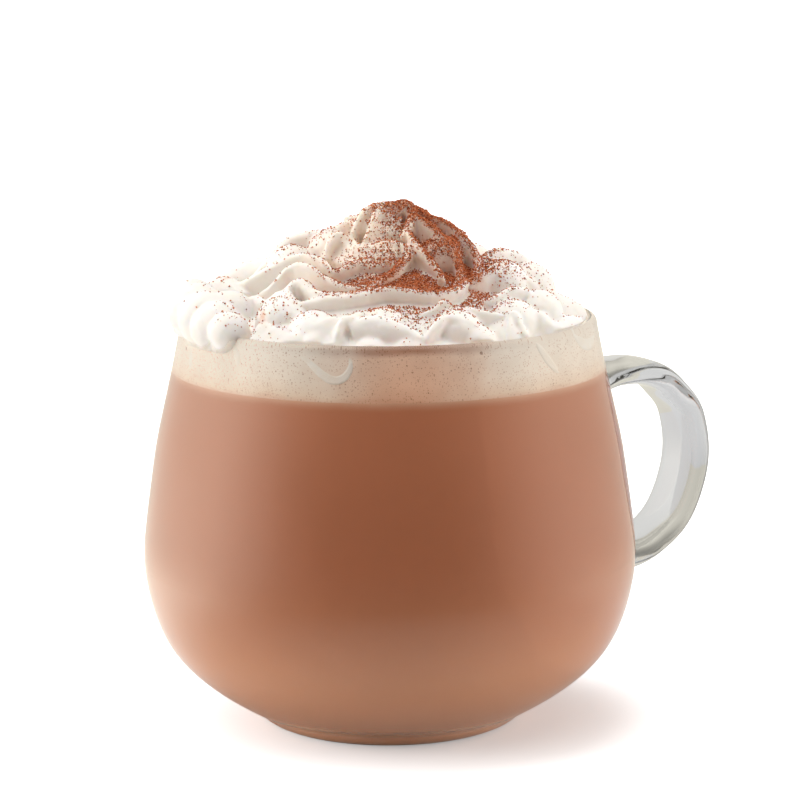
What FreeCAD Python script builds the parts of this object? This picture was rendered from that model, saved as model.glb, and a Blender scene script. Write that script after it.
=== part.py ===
"""Latte in a round-bellied glass mug: the mug with its strap handle, the coffee, the milk foam
and the whipped cream on top. Millimetres, +Z up, the handle towards +X, and the origin at the
middle of the foot's flat underside.
"""
import FreeCAD, Part
import math
import os

from FreeCAD import Vector

# ---- Mug ---------------------------------------------------------------------------------------
MUG_HEIGHT = 82.0
RIM_RADIUS = 41.5
BELLY_RADIUS = 49.4
BELLY_HEIGHT = 34.4
FOOT_RADIUS = 27.4
FOOT_HEIGHT = 2.6
FOOT_ROUNDING = 5.4
WALL = 2.2
FLOOR = 4.0
# Shape of the side, as (share of the climb, share of the step in radius) from foot to belly and
# from belly to rim.
LOWER_SIDE = ((0.20, 0.455), (0.41, 0.757), (0.69, 0.935))
UPPER_SIDE = ((0.225, 0.127), (0.483, 0.354), (0.742, 0.690))

# ---- Handle ------------------------------------------------------------------------------------
HANDLE_BELOW_RIM = 17.7
HANDLE_ABOVE_FOOT = 26.6
HANDLE_REACH = 22.1
STRAP_WIDTH = 14.0
STRAP_THICKNESS = 5.6
STRAP_SQUARENESS = 2.6
STRAP_CORNERS = 16
# The strap's middle line between its two roots, as (share of the reach beyond the belly, share of
# the height between the roots).
HANDLE_LINE = ((0.15, 1.05), (0.58, 1.02), (0.79, 0.93), (0.99, 0.76), (0.95, 0.34), (0.59, 0.09))

# ---- Drink -------------------------------------------------------------------------------------
FOAM_BELOW_RIM = 2.2
FOAM_DEPTH = 8.5
FOAM_TOP = MUG_HEIGHT - FOAM_BELOW_RIM

# ---- Whipped cream -----------------------------------------------------------------------------
CREAM_CLEARANCE = 0.2
CREAM_OVERHANG = 1.6
CREAM_PEAK = 23.6
MOUND_RISE = 8.0
MOUND_INSET = 3.5
# Small lumps stand side by side along the rim, unlike in size, place and height.
EDGE_LUMPS = 19
EDGE_LUMP_RADIUS = 4.8
EDGE_LUMP_INSET = 7.3
EDGE_LUMP_HEIGHT = 3.4
UNLIKE_RADIUS = 0.85
UNLIKE_INSET = 0.7
UNLIKE_HEIGHT = 0.8
# The cream's shown side faces this way round from -Y, in degrees.
SHOWN_SIDE = -30.0
# Folds of cream, each laid through its stations: (thickness, (angle, radius, height), ...).
# Angles are in degrees from the right of the shown side, anticlockwise from above. Radii are shares
# of the rim's, and heights are those of the fold's crest, as shares of the peak above the rim.
FOLDS = (
    (5.6, (196, 0.86, 0.22), (212, 0.89, 0.20), (228, 0.84, 0.13)),
    (4.2, (192, 0.76, 0.34), (203, 0.78, 0.32)),
    (5.4, (176, 0.70, 0.36), (158, 0.71, 0.44), (138, 0.70, 0.38)),
    (3.6, (200, 0.72, 0.33), (206, 0.57, 0.58), (232, 0.47, 0.50), (262, 0.40, 0.50), (296, 0.39, 0.52)),
    (3.6, (214, 0.70, 0.26), (222, 0.59, 0.42), (240, 0.57, 0.37), (268, 0.52, 0.37), (304, 0.53, 0.40)),
    (3.8, (226, 0.75, 0.18), (246, 0.69, 0.27), (272, 0.65, 0.26), (300, 0.66, 0.33)),
    (4.0, (200, 0.43, 0.66), (180, 0.45, 0.72), (150, 0.41, 0.74), (122, 0.36, 0.74)),
    (3.4, (228, 0.34, 0.66), (196, 0.29, 0.82), (150, 0.25, 0.84), (110, 0.22, 0.82)),
    (3.2, (228, 0.25, 0.70), (262, 0.29, 0.66), (292, 0.24, 0.70), (262, 0.17, 0.78), (215, 0.16, 0.88)),
    (3.2, (310, 0.27, 0.62), (334, 0.23, 0.88), (20, 0.14, 0.95)),
    (3.2, (318, 0.35, 0.60), (338, 0.33, 0.82), (8, 0.24, 0.88), (50, 0.19, 0.84)),
    (3.2, (322, 0.45, 0.48), (338, 0.42, 0.68), (4, 0.35, 0.76), (44, 0.29, 0.72)),
    (4.6, (334, 0.58, 0.44), (352, 0.58, 0.57), (14, 0.55, 0.58), (38, 0.49, 0.55)),
    (4.4, (312, 0.69, 0.26), (326, 0.72, 0.28), (342, 0.76, 0.30), (2, 0.76, 0.34), (24, 0.72, 0.33)),
    (4.6, (34, 0.70, 0.34), (62, 0.70, 0.36), (92, 0.69, 0.38), (126, 0.67, 0.40)),
    (4.4, (48, 0.49, 0.54), (76, 0.48, 0.58), (104, 0.47, 0.60), (132, 0.48, 0.62)),
    (3.6, (60, 0.30, 0.74), (88, 0.29, 0.76), (118, 0.30, 0.76)),
    (3.0, (240, 0.13, 0.90), (160, 0.07, 1.00), (70, 0.07, 0.98)),
)
# A fold is this much thinner at its ends, as a share of its thickness.
FOLD_TAPER = 0.28
# How far neighbouring folds melt into one another.
MELT = 0.35
# A fold's side falls no steeper than it does at this share of its half width.
STEEPEST = 0.85
BALL_SPACING = 1.1
GRID_STEP = 1.5


def between(start, end, step, climb):
    """A (radius, height) point at its shares of the way from one point to another."""
    return start[0] + step * (end[0] - start[0]), start[1] + climb * (end[1] - start[1])


def side_radius(height):
    """The mug's outer radius at a height between the foot and the rim."""
    points = side_points()
    for (r0, z0), (r1, z1) in zip(points, points[1:]):
        if z0 <= height <= z1:
            return r0 + (r1 - r0) * (height - z0) / (z1 - z0)
    return points[-1][0]


def side_points():
    """The outer side as (radius, height), from the foot's edge to the lip."""
    lip = MUG_HEIGHT - WALL / 2
    foot, belly, rim = (FOOT_RADIUS, FOOT_HEIGHT), (BELLY_RADIUS, BELLY_HEIGHT), (RIM_RADIUS, lip)
    lower = [between(foot, belly, step, climb) for climb, step in LOWER_SIDE]
    upper = [between(belly, rim, step, climb) for climb, step in UPPER_SIDE]
    return [foot, *lower, belly, *upper, rim]


def xz(point):
    """A (radius, height) point as coordinates in the XZ plane."""
    return point[0], 0, point[1]


def spline(points, **ends):
    """A smooth curve through (radius, height) points in the XZ plane."""
    curve = Part.BSplineCurve()
    curve.interpolate([Vector(r, 0, z) for r, z in points], **ends)
    return curve


def inside_curve(outside):
    """The cavity's side: from the middle of the floor, then one wall inside the outer side."""
    first, last = outside.parameter(Vector(*xz(side_points()[1]))), outside.LastParameter
    steps = 12
    points = [(0.0, FLOOR)]
    for i in range(steps + 1):
        at = first + (last - first) * i / steps
        along = outside.tangent(at)[0]
        place = outside.value(at)
        points.append((place.x - along.z * WALL, place.z + along.x * WALL))
    return spline(points, InitialTangent=Vector(1, 0, 0), FinalTangent=outside.tangent(last)[0])


def revolved(edges):
    """The solid that a closed outline in the XZ plane makes, turned once about the axis."""
    face = Part.Face(Part.Wire(edges))
    return face.revolve(Vector(0, 0, 0), Vector(0, 0, 1), 360)


def foot_edge():
    """The foot's rounded edge, which leaves the flat underside smoothly."""
    flat = FOOT_RADIUS - FOOT_ROUNDING
    bend = (FOOT_ROUNDING ** 2 + FOOT_HEIGHT ** 2) / (2 * FOOT_HEIGHT)
    half_turn = math.atan2(FOOT_HEIGHT, FOOT_ROUNDING)
    middle = Vector(flat + bend * math.sin(half_turn), 0, bend * (1 - math.cos(half_turn)))
    return Part.Arc(Vector(flat, 0, 0), middle, Vector(FOOT_RADIUS, 0, FOOT_HEIGHT))


def make_cup(outside, inside):
    """The mug without its handle: foot, belly, rounded lip and floor."""
    lip_out, lip_in = outside.value(outside.LastParameter), inside.value(inside.LastParameter)
    lip_top = Vector((lip_out.x + lip_in.x) / 2, 0, MUG_HEIGHT)
    return revolved([
        Part.LineSegment(Vector(0, 0, 0), Vector(FOOT_RADIUS - FOOT_ROUNDING, 0, 0)).toShape(),
        foot_edge().toShape(),
        outside.toShape(),
        Part.Arc(lip_out, lip_top, lip_in).toShape(),
        inside.toShape(),
        Part.LineSegment(Vector(0, 0, FLOOR), Vector(0, 0, 0)).toShape(),
    ])


def make_cavity(inside):
    """Everything that fits inside the mug, up to the lip."""
    top = inside.value(inside.LastParameter)
    return revolved([
        inside.toShape(),
        Part.LineSegment(top, Vector(0, 0, top.z)).toShape(),
        Part.LineSegment(Vector(0, 0, top.z), Vector(0, 0, FLOOR)).toShape(),
    ])


def rounded(share):
    """Share of the strap's half size at a share of its round, for a rectangle with round corners."""
    return math.copysign(abs(share) ** (2 / STRAP_SQUARENESS), share)


def strap_section(middle, across):
    """The strap's outline about a point of its middle line."""
    corners = []
    for i in range(STRAP_CORNERS):
        turn = 2 * math.pi * i / STRAP_CORNERS
        out = across * (rounded(math.cos(turn)) * STRAP_THICKNESS / 2)
        corners.append(middle + out + Vector(0, rounded(math.sin(turn)) * STRAP_WIDTH / 2, 0))
    section = Part.BSplineCurve()
    section.interpolate(corners, PeriodicFlag=True)
    return Part.Wire(section.toShape())


def make_handle():
    """A flat strap swept along its middle line. Both ends stand in the mug's wall."""
    bottom, top = HANDLE_ABOVE_FOOT, MUG_HEIGHT - HANDLE_BELOW_RIM
    roots = [(side_radius(z) - WALL / 2, z) for z in (top, bottom)]
    line = [(BELLY_RADIUS + out * HANDLE_REACH, bottom + up * (top - bottom)) for out, up in HANDLE_LINE]
    path = spline([roots[0], *line, roots[1]])
    along = path.tangent(path.FirstParameter)[0]
    section = strap_section(path.value(path.FirstParameter), Vector(-along.z, 0, along.x))
    return Part.Wire(path.toShape()).makePipeShell([section], True, False)


def make_mug(outside, inside, cavity):
    """The whole glass: the cup with its handle melted on. Nothing of it stands in the cavity."""
    cup = make_cup(outside, inside)
    handle = make_handle().cut(cavity)
    return cup.fuse(handle)


def make_coffee(cavity):
    """The coffee, from the mug's floor up to the foam."""
    below = Part.makeCylinder(BELLY_RADIUS, FOAM_TOP - FOAM_DEPTH)
    return cavity.common(below)


def make_foam(cavity):
    """The layer of milk foam on the coffee."""
    layer = Part.makeCylinder(BELLY_RADIUS, FOAM_DEPTH, Vector(0, 0, FOAM_TOP - FOAM_DEPTH))
    return cavity.common(layer)


def fold_line(stations):
    """A smooth line through a fold's stations, as points of its crest."""
    points = []
    for angle, share, height in stations:
        turn, radius = math.radians(angle + SHOWN_SIDE), share * RIM_RADIUS
        crest = MUG_HEIGHT + CREAM_PEAK * height
        points.append(Vector(radius * math.cos(turn), radius * math.sin(turn), crest))
    curve = Part.BSplineCurve()
    curve.interpolate(points)
    count = max(2, round(curve.length() / BALL_SPACING))
    return curve.discretize(count + 1)


def heap_balls():
    """Balls along every fold and round the edge, as (x, y, z, radius)."""
    balls = []
    for thickness, *stations in FOLDS:
        crest = fold_line(stations)
        for i, point in enumerate(crest):
            radius = thickness * (1 - FOLD_TAPER + FOLD_TAPER * math.sin(math.pi * i / (len(crest) - 1)))
            balls.append((point.x, point.y, point.z - radius, radius))
    for i in range(EDGE_LUMPS):
        angle = 2 * math.pi * i / EDGE_LUMPS
        radius = EDGE_LUMP_RADIUS + UNLIKE_RADIUS * math.sin(2.3 * i)
        ring = RIM_RADIUS - EDGE_LUMP_INSET + UNLIKE_INSET * math.cos(3.1 * i)
        crest = MUG_HEIGHT + EDGE_LUMP_HEIGHT + UNLIKE_HEIGHT * math.sin(1.7 * i)
        balls.append((ring * math.cos(angle), ring * math.sin(angle), crest - radius, radius))
    return balls


def ball_top(aside, radius):
    """Height of a ball's upper side over its centre. Past the steep edge it falls as a slope."""
    share = aside / radius
    if share <= STEEPEST:
        return radius * math.sqrt(1 - share * share)
    edge = math.sqrt(1 - STEEPEST * STEEPEST)
    return radius * (edge - (share - STEEPEST) * STEEPEST / edge)


def cream_height(x, y, balls):
    """The heap's surface above a point: the mound and every ball, melted into one another."""
    away = math.hypot(x, y) / (RIM_RADIUS - MOUND_INSET)
    heights = [MUG_HEIGHT + MOUND_RISE * (1 - away * away)]
    heights += [bz + ball_top(math.hypot(x - bx, y - by), radius) for bx, by, bz, radius in balls]
    highest = max(heights)
    weights = [math.exp((h - highest) / MELT) for h in heights]
    return highest + MELT * math.log(sum(weights))


def cream_space(inside):
    """The space that the heap may fill: on the foam, clear of the wall and lip, and over the rim."""
    lip = inside.value(inside.LastParameter)
    foot = inner_radius(inside, FOAM_TOP) - CREAM_CLEARANCE
    neck = lip.x - CREAM_CLEARANCE
    above = MUG_HEIGHT + CREAM_CLEARANCE
    over = RIM_RADIUS + CREAM_OVERHANG
    roof = MUG_HEIGHT + 2 * CREAM_PEAK
    outline = [(0, FOAM_TOP), (foot, FOAM_TOP), (neck, lip.z), (neck, above)]
    outline += [(over, above), (over, roof), (0, roof)]
    corners = [Vector(*xz(p)) for p in outline]
    return revolved([Part.LineSegment(a, b).toShape() for a, b in zip(corners, corners[1:] + corners[:1])])


def make_cream(inside):
    """The heap: a rippled top surface, cut to the space for it."""
    balls = heap_balls()
    reach = RIM_RADIUS + CREAM_OVERHANG + 2
    steps = 2 * math.ceil(reach / GRID_STEP)
    ticks = [-reach + 2 * reach * i / steps for i in range(steps + 1)]
    top = Part.BSplineSurface()
    top.interpolate([[Vector(x, y, cream_height(x, y, balls)) for y in ticks] for x in ticks])
    heap = top.toShape().extrude(Vector(0, 0, -2 * CREAM_PEAK))
    return heap.common(cream_space(inside))


def inner_radius(inside, height):
    """The cavity's radius at a height."""
    level = Part.LineSegment(Vector(0, 0, height), Vector(2 * BELLY_RADIUS, 0, height)).toShape()
    return inside.toShape().distToShape(level)[1][0][0].x


def save(name, shape):
    solids = shape.Solids
    body = solids[0] if len(solids) == 1 else Part.makeCompound(solids)
    body.exportStep(os.path.join("parts", name + ".step"))
    print(name, "solids", len(solids), "valid", shape.isValid(), "ml", round(shape.Volume / 1000, 2))


def main():
    os.makedirs("parts", exist_ok=True)
    outside = spline(side_points())
    inside = inside_curve(outside)
    cavity = make_cavity(inside)
    save("glass_mug", make_mug(outside, inside, cavity))
    save("coffee", make_coffee(cavity))
    save("milk_foam", make_foam(cavity))
    save("whipped_cream", make_cream(inside))


main()
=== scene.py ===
"""Looks of a latte in a round-bellied glass mug, with milk foam, piped whipped cream and ground
cinnamon. Everything is in metres in the part's own frame. The folds of cream are laid out as seen
from the shown side: (across, deep, high) in millimetres from the middle of the mug's foot, across
to the right, deep away from the viewer.
"""

import math

import bmesh
import bpy
import numpy as np
from mathutils import Matrix, Vector, noise
from mathutils.bvhtree import BVHTree


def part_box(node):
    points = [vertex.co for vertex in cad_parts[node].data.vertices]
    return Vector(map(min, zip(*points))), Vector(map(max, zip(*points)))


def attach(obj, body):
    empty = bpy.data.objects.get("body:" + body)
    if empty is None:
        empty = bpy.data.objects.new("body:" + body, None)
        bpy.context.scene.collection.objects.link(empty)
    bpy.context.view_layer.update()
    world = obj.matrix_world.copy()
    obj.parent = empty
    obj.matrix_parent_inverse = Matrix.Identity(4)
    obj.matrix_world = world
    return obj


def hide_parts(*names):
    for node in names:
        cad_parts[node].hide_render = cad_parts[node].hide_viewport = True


MM = 0.001
# Points closer than this are one point.
SEAM = 1e-7
WHITE = (1.0, 1.0, 1.0)

# ---- Mug ----
SHOWN_SIDE = math.radians(-30)
ROUND_STEPS = 160
SIDE_STEPS = 54
LIP_STEPS = 10
# The section's heights start just above the flat faces, and crowd together towards them.
OUTSIDE_START = 0.02 * MM
OUTSIDE_CROWDING = 1.35
INSIDE_START = 0.01 * MM
INSIDE_CROWDING = 1.6
STRAP_WIDTH = 14.0 * MM
STRAP_THICKNESS = 5.6 * MM
STRAP_SQUARENESS = 2.6
STRAP_CORNERS = 20
# The strap's middle line in the handle's plane, as (out from the axis, height) in millimetres.
STRAP_LINE = (
    (43.1, 64.3), (52.7, 66.2), (62.2, 65.1), (66.9, 61.7),
    (71.3, 55.3), (70.4, 39.4), (62.4, 30.0), (46.2, 26.6),
)
ROOT_FLARE = 1.22
# Faces thinner than this are closed up where the handle joins the cup.
SLIVER = 0.004 * MM

# ---- Coffee and foam ----
INTO_WALL = 0.25 * MM
FOOT_CLEAR = 1.3 * MM
FLOOR_ROUND = 1.2 * MM
DRINK_EDGE = 0.04 * MM
COFFEE_STEPS = 44
FOAM_STEPS = 12
# The film of foam on the glass: (in from the wall, above the foam) in millimetres.
FILM = ((0.25, 1.75), (0.45, 1.5), (0.7, 0.9), (1.2, 0.35), (2.2, 0.08), (3.5, 0.0))
COFFEE_TONES = (
    (0.30, (0.500, 0.171, 0.080)), (0.55, (0.530, 0.182, 0.087)), (0.75, (0.550, 0.192, 0.094)),
)
# Painted light: the coffee turns paler low down, from the first height to the second, standing in
# for light bounced up from the floor.
COFFEE_PAINTED_BOUNCE = (0.94, 0.47, 0.26)
PAINTED_BOUNCE_FROM = 43 * MM
PAINTED_BOUNCE_FULL_AT = 2 * MM
# Clouds of foam in the top of the coffee, from one height to another round its level.
COFFEE_CLOUD = (0.74, 0.43, 0.28)
COFFEE_CLOUDING = (-1.9 * MM, 0.1 * MM)
# The foam's colours from its foot (0) to its top (0.8): in front, and at both sides. The paler
# colours at both sides are painted light, where the side lamps would light the foam.
FOAM_TAN = (
    (0.0, (0.80, 0.44, 0.28)), (0.07, (0.88, 0.53, 0.35)), (0.30, (0.96, 0.61, 0.42)),
    (0.76, (0.97, 0.65, 0.47)), (0.86, (0.66, 0.36, 0.24)),
)
FOAM_PAINTED_SIDE_LIGHT = (
    (0.0, (0.82, 0.56, 0.40)), (0.09, (0.92, 0.74, 0.57)), (0.35, (0.96, 0.84, 0.70)),
    (1.0, (0.96, 0.87, 0.76)),
)
FOAM_PATCHES = ((0.30, (0.94, 0.93, 0.92)), (0.70, (1.04, 1.04, 1.04)))
# Each: (cells a metre, size in cells, share of cells with a bubble, how dark the painted shade
# inside it is).
FOAM_BUBBLES = ((2600.0, 0.30, 0.50, 0.80), (1300.0, 0.20, 0.30, 0.72), (330.0, 0.12, 0.07, 0.62))

# ---- Whipped cream ----
CREAM_WHITES = ((0.3, (0.90, 0.84, 0.77)), (0.7, (0.92, 0.88, 0.835)))
SUNK_WHITES = ((0.35, (0.94, 0.84, 0.71)), (0.65, (0.96, 0.90, 0.81)))
# One side of a fold's section, from the crest down, and its foot, in halves of its thickness. A
# lip is thin and flares out into the cream below it. A rope has a round top.
LIP_SIDE = ((0.40, -0.16), (0.60, -0.62), (0.78, -1.5), (1.10, -2.7), (1.75, -4.1))
LIP_FOOT = -4.8
ROPE_SIDE = ((0.58, -0.22), (1.0, -1.0), (1.12, -2.0), (0.8, -2.9))
ROPE_FOOT = -3.2
# Each fold: (half its thickness, lean in degrees, its crest's points). A fold with a positive lean
# tips over to the left of the way it runs.
LIPS = (
    # the long ridges that run from the left into the middle
    (1.7, 24, ((-31, -5, 89), (-27, -8, 91), (-22.5, -9, 93.5), (-18, -10, 95.6), (-14, -12, 95.4),
               (-10, -15, 93.2), (-7.5, -14.5, 94.2), (-4, -12.5, 95.2))),
    (1.6, 26, ((-26, -12, 87.6), (-22.5, -14, 90.6), (-19, -14, 94), (-17, -15, 94.6),
               (-12, -18, 92.3), (-7.5, -20, 90.7), (-3.5, -20, 91), (0.5, -17, 92.6),
               (3.2, -13.5, 94.7), (4.4, -10.5, 96.4), (2, -8.3, 97.9), (-1.5, -8.8, 97.9),
               (-4.5, -9, 97.2), (-6.3, -7, 97.8), (-6.5, -5, 98))),
    (1.7, 30, ((-22, -19, 88), (-19, -20, 91), (-17.3, -20, 92), (-14, -23, 90.2), (-11, -24, 89.8),
               (-7, -24, 90), (-1.5, -22, 91))),
    # the broad fold under the bed of cinnamon
    (2.0, 34, ((-17.5, -24, 87.8), (-12, -25.2, 89.2), (-8.5, -25.6, 89.5), (-3, -25, 90.4),
               (0, -24.4, 91), (3.5, -24.4, 90.5), (8.5, -24, 89.9), (13.5, -21, 90.4),
               (15.5, -16.5, 91.5))),
    # the petals at the peak
    (1.5, 14, ((-8, -8, 95), (-7, -6, 97.5), (-6.5, -5, 100), (-5.5, -4, 102.6), (-3.6, -2, 104),
               (-1, 1, 103.5))),
    (1.2, -20, ((-5.5, -8.5, 96.5), (-4.8, -8, 98), (-3.5, -6, 101), (-2.4, -3.4, 103.7),
                (0.6, -1.4, 104.7), (3, -1.2, 105.2), (5.2, -2.4, 104.4), (4.8, -5, 102.2),
                (3.7, -7, 100.2), (2.4, -8, 98.6))),
    # the folds left of the peak
    (2.4, 12, ((-27, 1, 90), (-24.5, 1, 93), (-21.5, 1, 96.4), (-17, 1.5, 98.5), (-12, 0, 99.6),
               (-8.5, -1.5, 101), (-5, 1, 101.5))),
    (1.6, 0, ((-12.4, -9, 94.5), (-11.4, -7, 98), (-9.6, -5.5, 99.5), (-7.4, -7, 97))),
    # the steep swirl right of the peak
    (1.3, 16, ((2, 3, 103.5), (5, 0, 103.9), (8.5, -2, 102.2), (11.6, -3, 101.1), (14.2, -5, 99.2),
               (16.4, -7, 96.8), (17.2, -9.3, 94.4), (16.8, -12, 92.4), (15, -15, 90.4))),
    (1.3, 18, ((4, -2.6, 103.2), (6.4, -4.8, 102.3), (9.6, -7, 100), (12.2, -9.2, 97),
               (13.4, -11.6, 94.4), (13.6, -14, 92.4), (12.8, -16.6, 90.6))),
    (1.2, 24, ((3.2, -6.4, 100.4), (4.4, -9, 99.0), (6.2, -11.4, 97.0), (8.2, -13.6, 95.2),
               (9.6, -15.2, 93.2), (10.2, -17, 91.6))),
    # the mounds on the right
    (2.6, 6, ((16, -8, 91.5), (18, -7, 93.8), (20.8, -4.6, 95.6), (24.5, -2, 95.2), (28, 0, 93.2),
              (31, 2, 90.2), (33.5, 4, 87))),
    (2.0, 14, ((15.5, -15, 90), (18, -13.6, 91.8), (21, -12, 92.7), (24.8, -10, 92), (28.4, -8, 90),
               (31, -7, 87), (33.5, -6, 84.5))),
    (1.8, 14, ((18.5, -21, 87.8), (21, -20, 88.8), (24.5, -18, 90), (28, -16, 88.9),
               (30.5, -14.5, 86.4), (33, -13, 84))),
    (1.8, 10, ((-28, -13, 86.6), (-26, -15, 88.4), (-23.4, -19, 88), (-21.4, -19.6, 89.6),
               (-19.4, -21.4, 90), (-18.6, -25, 87.4), (-19.4, -29, 84))),
    # the row of waves inside the front rim
    (1.7, -26, ((-24, -27, 85), (-20.6, -29.6, 84.2), (-17, -32, 83.2), (-14.6, -31.8, 85),
                (-11.6, -31.2, 86.2), (-8.6, -30.5, 86))),
    (1.5, 0, ((-9.2, -36, 80.5), (-9.4, -35, 84), (-8.5, -33.4, 86.4), (-6.6, -32, 86.9),
              (-4.6, -29, 87.4))),
    (1.8, 30, ((6.4, -36, 82), (8.2, -34.8, 84.2), (10, -33.4, 85.9), (11.6, -32.2, 86.7),
               (14.5, -31.8, 85.9), (18, -31, 84.3), (20.4, -30, 83))),
    (1.3, 10, ((6, -28, 86.4), (8.8, -27.4, 87.6), (10.8, -26.6, 88.8), (12.6, -26.4, 87.6),
               (16.5, -26.4, 87.2), (19, -26.4, 86.6), (22, -25.6, 86))),
    (1.3, 0, ((21.8, -31, 81), (22.8, -28.4, 84.6), (24, -26.2, 86.8), (25.4, -27, 84.6),
              (26.6, -28.8, 82))),
)
ROPES = (
    (4.2, 0, ((-40, 4, 84.5), (-36, 5, 88), (-33, 5.5, 90.2), (-29.5, 6, 91.8), (-26, 6, 93),
              (-21.5, 6, 94.5), (-16, 8, 95.5))),
    (2.4, 0, ((29, -9, 86), (31.8, -8, 88), (34.5, -6.6, 86.7), (37, -3.6, 85), (37.6, 1, 83.6))),
    # the blobs on the left, over the rim
    (5.0, 0, ((-37, 0, 83.5), (-38.2, -5.5, 86), (-36.6, -8.4, 88), (-33.6, -12.2, 88.4),
              (-31, -18, 86.4), (-29.6, -23.5, 84), (-29.4, -27, 81.5))),
    (3.3, 0, ((-39.4, 3, 85), (-39, -2.5, 87.3), (-37, -7.5, 88.3), (-34, -12, 88),
              (-32, -16, 86.4))),
    (2.9, 0, ((-36, -1, 87), (-34.6, -2.2, 89.6), (-32.6, -3.4, 90.4), (-30, -6, 90),
              (-28.2, -9.6, 88))),
    (2.0, 0, ((-7.4, -32.8, 85.6), (-3.5, -33, 86.8), (-0.5, -33.4, 86.4), (3.2, -34, 85.2),
              (6.4, -35, 83.2))),
    (2.0, 0, ((25.6, -24, 83), (27, -22.4, 84.8), (29.5, -21, 85.6), (32, -20.8, 83.8),
              (35, -16.6, 84.2), (37, -12, 83.4))),
)
# Round the back, in one long swirl that climbs to the peak.
BACK_LIPS = (
    (2.6, 20, ((37.4, 2, 82.5), (34.6, 12, 84.6), (28, 20.4, 86.2), (19, 27, 87.4), (8, 31, 88),
               (-4, 31.6, 88), (-15, 28.6, 87.8), (-25, 21.6, 87.4), (-32, 12, 86.6))),
    (2.3, 20, ((32.6, 3, 88), (29, 11, 89), (21.6, 18, 90.6), (12, 22.6, 92), (1, 24.4, 92.6),
               (-10, 22.4, 92.8), (-19.6, 16.4, 92.8), (-26, 9, 92.2))),
    (2.0, 18, ((22.6, 3, 92.6), (19.4, 9.6, 94.4), (12, 14.6, 96.2), (3, 16.8, 97.2),
               (-6, 15.4, 97.8), (-13.6, 10.6, 98), (-17.6, 5, 97.4))),
    (1.7, 16, ((15.6, -1.6, 97.8), (14, 4, 99), (9.6, 8.4, 100.4), (3, 10, 101.2), (-4, 8.6, 101.6),
               (-8.6, 4.6, 101.2))),
    (1.4, 12, ((8.6, 0.6, 101.8), (6.6, 4.2, 103), (2.4, 5.2, 104), (-2, 3.6, 104.2),
               (-4, 0.4, 103.8))),
)
# Soft cream behind the thin lips: (across, deep, high, radius).
BACKING = (
    (1.0, 1.4, 100.4, 3.4), (0.5, -2.4, 97.6, 4.0), (-4.6, -2.0, 99.4, 2.6), (-5.0, 0.6, 97.0, 4.4),
    (7.5, -0.5, 97.0, 4.6), (-11.0, -1.0, 94.5, 5.0), (10.5, -6.0, 94.0, 4.6),
    (-1.0, -8.0, 93.2, 4.6), (-19.0, -3.0, 91.5, 5.2), (4.0, 3.0, 97.5, 5.5),
    (-31.0, -14.0, 83.6, 5.6), (-20.0, -23.0, 83.6, 5.6), (22.0, -8.0, 88.5, 5.6),
    (28.0, -3.0, 87.5, 5.2), (-1.0, -29.0, 82.4, 5.4), (13.0, -28.5, 81.8, 5.4),
    (-14.0, -28.5, 82.0, 5.2), (29.0, -15.0, 83.6, 5.4), (24.0, -21.0, 82.8, 5.2),
)
# Where the cream lies over the lip on the left: (across, deep, high, radius).
SPILL = (
    (-38.2, -4.5, 85.2, 4.9), (-37.2, -10.5, 84.4, 5.8), (-35.4, -15.0, 83.6, 5.6),
    (-33.2, -19.4, 82.8, 5.0), (-30.4, -24.4, 82.4, 4.1),
)
SPILL_REACH = 45.0 * MM
CORE_BASE = -2.0 * MM
CORE_RISE = 15.0 * MM
CORE_RADIUS = 38.8 * MM
CORE_DEPTH = 6 * MM
CORE_SHARES = (0.0, 0.2, 0.4, 0.6, 0.75, 0.88, 0.97, 1.0)
# Lumps along the rim: how many, their radii and how far above the rim, in millimetres.
EDGE_LUMPS = 23
EDGE_LUMP_SIZES = (3.6, 5.6)
EDGE_LUMP_HEIGHTS = (-4.2, -1.6)
EDGE_LUMP_REACH = 38.9 * MM
CREAM_VOXEL = 0.395 * MM
CREAM_FLOOR = -3.5 * MM
CREAM_RIPPLE = 0.14 * MM
# The gap to the glass in millimetres, and how much more there is along the front.
CREAM_GAP = 0.12
FRONT_GAP = 1.7
CREAM_REACH = 42.9 * MM
OVER_LIP_SLOPE = 3.5

# Streaks of sunk cream: (half the thickness, the course as (degrees round from the front, height)).
SUNK_STREAKS = (
    (1.2, ((-28, 78.2), (-25.5, 79.3), (-22.8, 79.0), (-20, 77.6), (-17.4, 76.2), (-14.8, 75.3),
           (-12.2, 75.5), (-10.4, 76.9), (-9.9, 78.6), (-10.9, 80.0), (-13, 80.4))),
    (1.3, ((43.5, 81.0), (45.5, 79.2), (48, 76.8), (50.5, 74.8), (52, 73.6))),
    (1.4, ((-72, 80.6), (-69, 78.0), (-67, 75.4), (-66, 73.6))),
    (1.2, ((-47, 80.6), (-45, 78.4), (-44, 76.2))),
    (1.7, ((61, 80.6), (66, 78.4), (72, 77.6), (78, 78.8))),
)
STREAK_CORNERS = 8
STREAK_PROUD = 0.12 * MM

# ---- Cinnamon ----
CINNAMON_BROWNS = (
    (0.28, (0.05, 0.013, 0.006)), (0.38, (0.30, 0.068, 0.022)), (0.50, (0.54, 0.150, 0.055)),
    (0.62, (0.64, 0.215, 0.090)), (0.74, (0.80, 0.44, 0.26)),
)
GRAINS = 32000
GRAIN_SIZES = (0.07, 0.23)
# Grains are dropped over a disc, a little aslant, and stay where the cream isn't too steep.
SCATTER_REACH = 40 * MM
DROP_HEIGHT = 0.13
DUSTED_HEIGHT = 0.09
KEPT_SHARE = 0.45
SLANT = 0.12
STEEPEST = 0.05
TRIES_A_GRAIN = 60
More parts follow.
